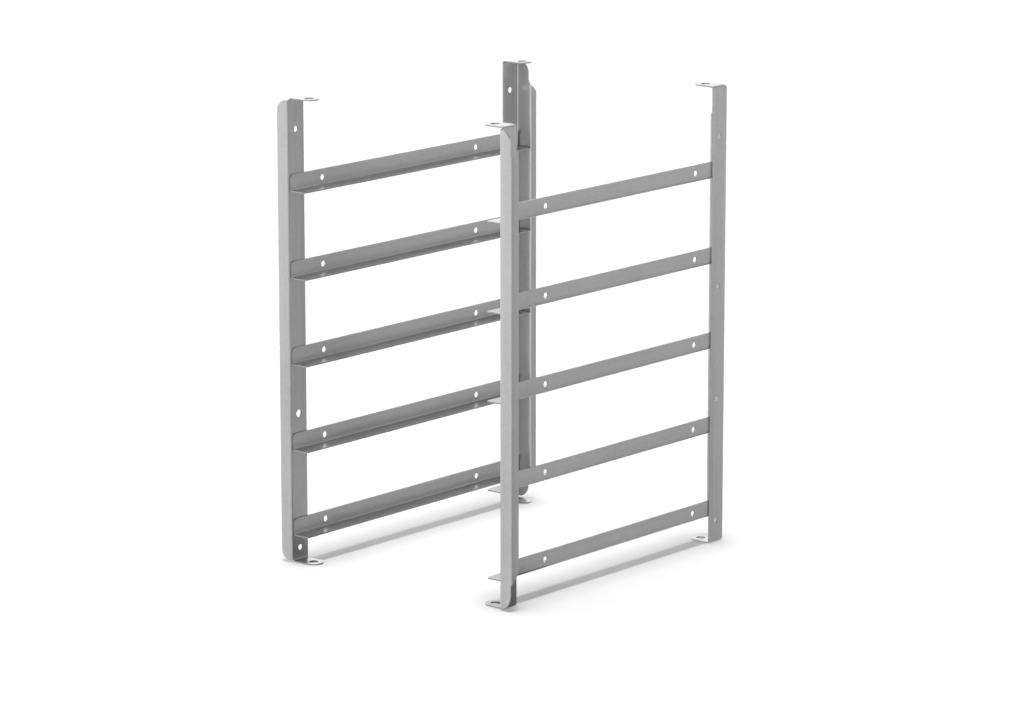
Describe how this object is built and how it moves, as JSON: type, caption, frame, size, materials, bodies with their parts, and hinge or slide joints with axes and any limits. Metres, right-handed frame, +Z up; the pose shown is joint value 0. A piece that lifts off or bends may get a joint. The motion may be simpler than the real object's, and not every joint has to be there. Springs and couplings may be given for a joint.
{
  "type": "ladder rack",
  "caption": "Pair of facing folded sheet-metal ladder frames with angle runners that carry crates or trays, and fixing tabs at floor and roof.",
  "frame": {"origin": "on the floor, under the middle of the rack's bounding box", "axes": "+Z up along the uprights, +Y from the open front to the back, +X to the right seen from the front"},
  "size_m": [0.4494, 0.536, 0.7],
  "materials": {
    "sheet_steel": "satin bare or zinc-plated sheet",
    "weld_steel": "fused steel, sealed between the sheets"
  },
  "bodies": {
    "root": {"left_front_upright": "sheet_steel", "left_rear_upright": "sheet_steel", "left_runner_1": "sheet_steel", "left_runner_1_welds": "weld_steel", "left_runner_2": "sheet_steel", "left_runner_2_welds": "weld_steel", "left_runner_3": "sheet_steel", "left_runner_3_welds": "weld_steel", "left_runner_4": "sheet_steel", "left_runner_4_welds": "weld_steel", "left_runner_5": "sheet_steel", "left_runner_5_welds": "weld_steel", "right_front_upright": "sheet_steel", "right_rear_upright": "sheet_steel", "right_runner_1": "sheet_steel", "right_runner_1_welds": "weld_steel", "right_runner_2": "sheet_steel", "right_runner_2_welds": "weld_steel", "right_runner_3": "sheet_steel", "right_runner_3_welds": "weld_steel", "right_runner_4": "sheet_steel", "right_runner_4_welds": "weld_steel", "right_runner_5": "sheet_steel", "right_runner_5_welds": "weld_steel"}
  },
  "joints": []
}
